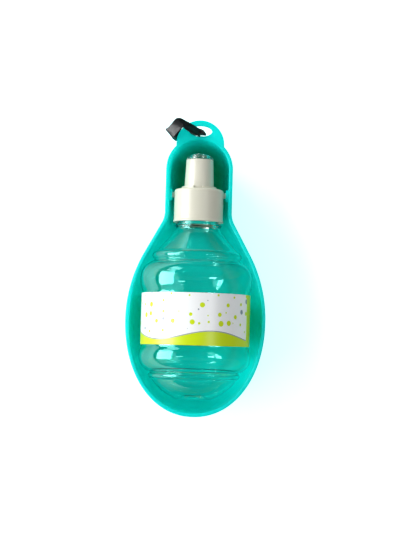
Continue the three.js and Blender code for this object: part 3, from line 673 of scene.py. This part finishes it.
ink = knot(t, "ShaderNodeMix", {"Factor": spot.outputs[0], 6: ink.outputs[2], 7: dot.outputs[2]}, data_type="RGBA")
print_skin = knot(t, "ShaderNodeBsdfPrincipled", {"Base Color": ink.outputs[2], "Roughness": 0.32, "IOR": 1.49})
knot(t, "ShaderNodeOutputMaterial", {"Surface": print_skin.outputs[0]})
label.data.materials.append(film)
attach(label, "bottle")
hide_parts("label")

# ---------------------------------------------------------------------------------------
# Strap. A loop of black nylon webbing, 10 mm wide, passed through the tab's slot; it stands
# up by itself and turns over toward its far end.
# ---------------------------------------------------------------------------------------
STRAP_W, STRAP_T = 10.0, 1.6
strap_at = np.array([0, SLOT_Y, RIM_UP - 1.5]) + np.array([
    (0.5, -1.9, -2.2), (0.8, -2.2, 2.6), (-4.3, -0.2, 6.0), (-10.2, 2.5, 9.2), (-15.0, 4.6, 11.8),
    (-17.2, 2.2, 13.0), (-20.8, -2.0, 11.6), (-22.2, -3.6, 9.2), (-21.5, -2.9, 2.6), (-17.0, -1.4, -7.8),
    (-7.0, -0.2, -9.0)])
strap_across = np.array([
    (-1.0, 0.0, 0.0), (-0.86, -0.04, 0.48), (-0.4, -0.55, 0.73), (0.05, -0.74, 0.67), (0.31, -0.7, 0.64),
    (0.62, -0.62, 0.42), (0.62, -0.62, 0.42), (0.55, -0.6, 0.5), (0.2, -0.65, 0.72), (-0.35, -0.7, 0.6),
    (-0.9, -0.3, 0.25)])
# the slot squeezes the band, so it is drawn in there
strap_wide = np.array([0.66, 0.62, 0.82, 0.98, 1.0, 0.95, 0.95, 1.0, 1.0, 1.0, 0.85])[:, None]


def round_curve(knots, steps):
    """A closed centripetal Catmull-Rom curve through the knots, at equal steps of its parameter:
    each span is a cubic whose end slopes weigh the neighbours by the root of their distance."""
    where = np.arange(steps) * len(knots) / steps
    i, s = np.floor(where).astype(int), (where % 1)[:, None]
    p0, p1, p2, p3 = (knots[(i + k) % len(knots)] for k in (-1, 0, 1, 2))
    gap = lambda a, b: np.sqrt(np.linalg.norm(b - a, axis=1, keepdims=True))
    d1 = gap(p1, p2)
    d1 = np.where(d1 < 1e-4, 1.0, d1)
    d0, d2 = (np.where(d < 1e-4, d1, d) for d in (gap(p0, p1), gap(p2, p3)))
    m1 = ((p1 - p0) / d0 - (p2 - p0) / (d0 + d1) + (p2 - p1) / d1) * d1
    m2 = ((p2 - p1) / d1 - (p3 - p1) / (d1 + d2) + (p3 - p2) / d2) * d1
    return (p1 * (2 * s ** 3 - 3 * s ** 2 + 1) + m1 * (s ** 3 - 2 * s ** 2 + s)
            + p2 * (3 * s ** 2 - 2 * s ** 3) + m2 * (s ** 3 - s ** 2))


def webbing(steps=320):
    """A rounded band section carried round the loop, its width turned square to the path; also how
    far along and across each point is, in millimetres, for the weave."""
    path = round_curve(strap_at, steps)
    along = np.roll(path, -1, 0) - np.roll(path, 1, 0)
    along /= np.linalg.norm(along, axis=1, keepdims=True)
    wide = round_curve(strap_across, steps)
    wide -= along * np.sum(wide * along, 1, keepdims=True)
    wide /= np.linalg.norm(wide, axis=1, keepdims=True)
    out = np.cross(wide, along)
    edge = arc(STRAP_W / 2 - 0.7, 0, 0.7, STRAP_T / 2, 90, -90, 9)
    flat = np.stack([np.linspace(-STRAP_W / 2 + 0.7, STRAP_W / 2 - 0.7, 15)[1:-1], np.full(13, STRAP_T / 2)], 1)
    section = np.concatenate([flat, edge, flat[::-1] * [1, -1], -edge])
    broad = round_curve(strap_wide, steps)[:, None]
    points = path[:, None] + section[None, :, :1] * broad * wide[:, None] + section[None, :, 1:] * out[:, None]
    far = np.concatenate([[0], np.cumsum(np.linalg.norm(np.diff(path, axis=0, append=path[:1]), axis=1))])
    return points, far, section


strap_points, strap_far, strap_section = webbing()
strap = build("webbing_loop", [skin(strap_points, True, True)], crease=80, origin=hinge)
# the weave's own coordinates: along the loop and across the band, in millimetres
weave = np.stack(np.broadcast_arrays(strap_far[:-1, None], strap_section[None, :, 0], 0.0), -1)
strap.data.attributes.new("weave", "FLOAT_VECTOR", "POINT").data.foreach_set("vector", weave.ravel())

# Nylon webbing: a herringbone of ribs 1.1 mm apart, black, with the silky gloss of its fibres
nylon, t = finish("black_nylon_webbing")
place = knot(t, "ShaderNodeAttribute", attribute_name="weave")
axes = knot(t, "ShaderNodeSeparateXYZ", {"Vector": place.outputs["Vector"]})
lean = knot(t, "ShaderNodeMath", {0: axes.outputs["Y"], 1: 2.5}, operation="PINGPONG")
rib = knot(t, "ShaderNodeMath", {0: lean.outputs[0], 1: axes.outputs["X"]}, operation="ADD")
rib = knot(t, "ShaderNodeMath", {0: rib.outputs[0], 1: 2 * math.pi / 1.1}, operation="MULTIPLY")
rib = knot(t, "ShaderNodeMath", {0: rib.outputs[0]}, operation="SINE")
high = knot(t, "ShaderNodeMapRange", {"Value": rib.outputs[0], "From Min": -1.0})
yarn = knot(t, "ShaderNodeMix", {"Factor": high.outputs["Result"], 6: linear("#08090A"), 7: linear("#141617")},
            data_type="RGBA")
relief = knot(t, "ShaderNodeBump", {"Height": high.outputs["Result"], "Strength": 0.6, "Distance": 0.00015})
black = knot(t, "ShaderNodeBsdfPrincipled", {
    "Base Color": yarn.outputs[2], "Roughness": 0.42, "IOR": 1.53, "Specular IOR Level": 0.75,
    "Normal": relief.outputs["Normal"], "Sheen Weight": 0.05, "Sheen Roughness": 0.35})
knot(t, "ShaderNodeOutputMaterial", {"Surface": black.outputs[0]})
strap.data.materials.append(nylon)
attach(strap, "strap")
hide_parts("strap")
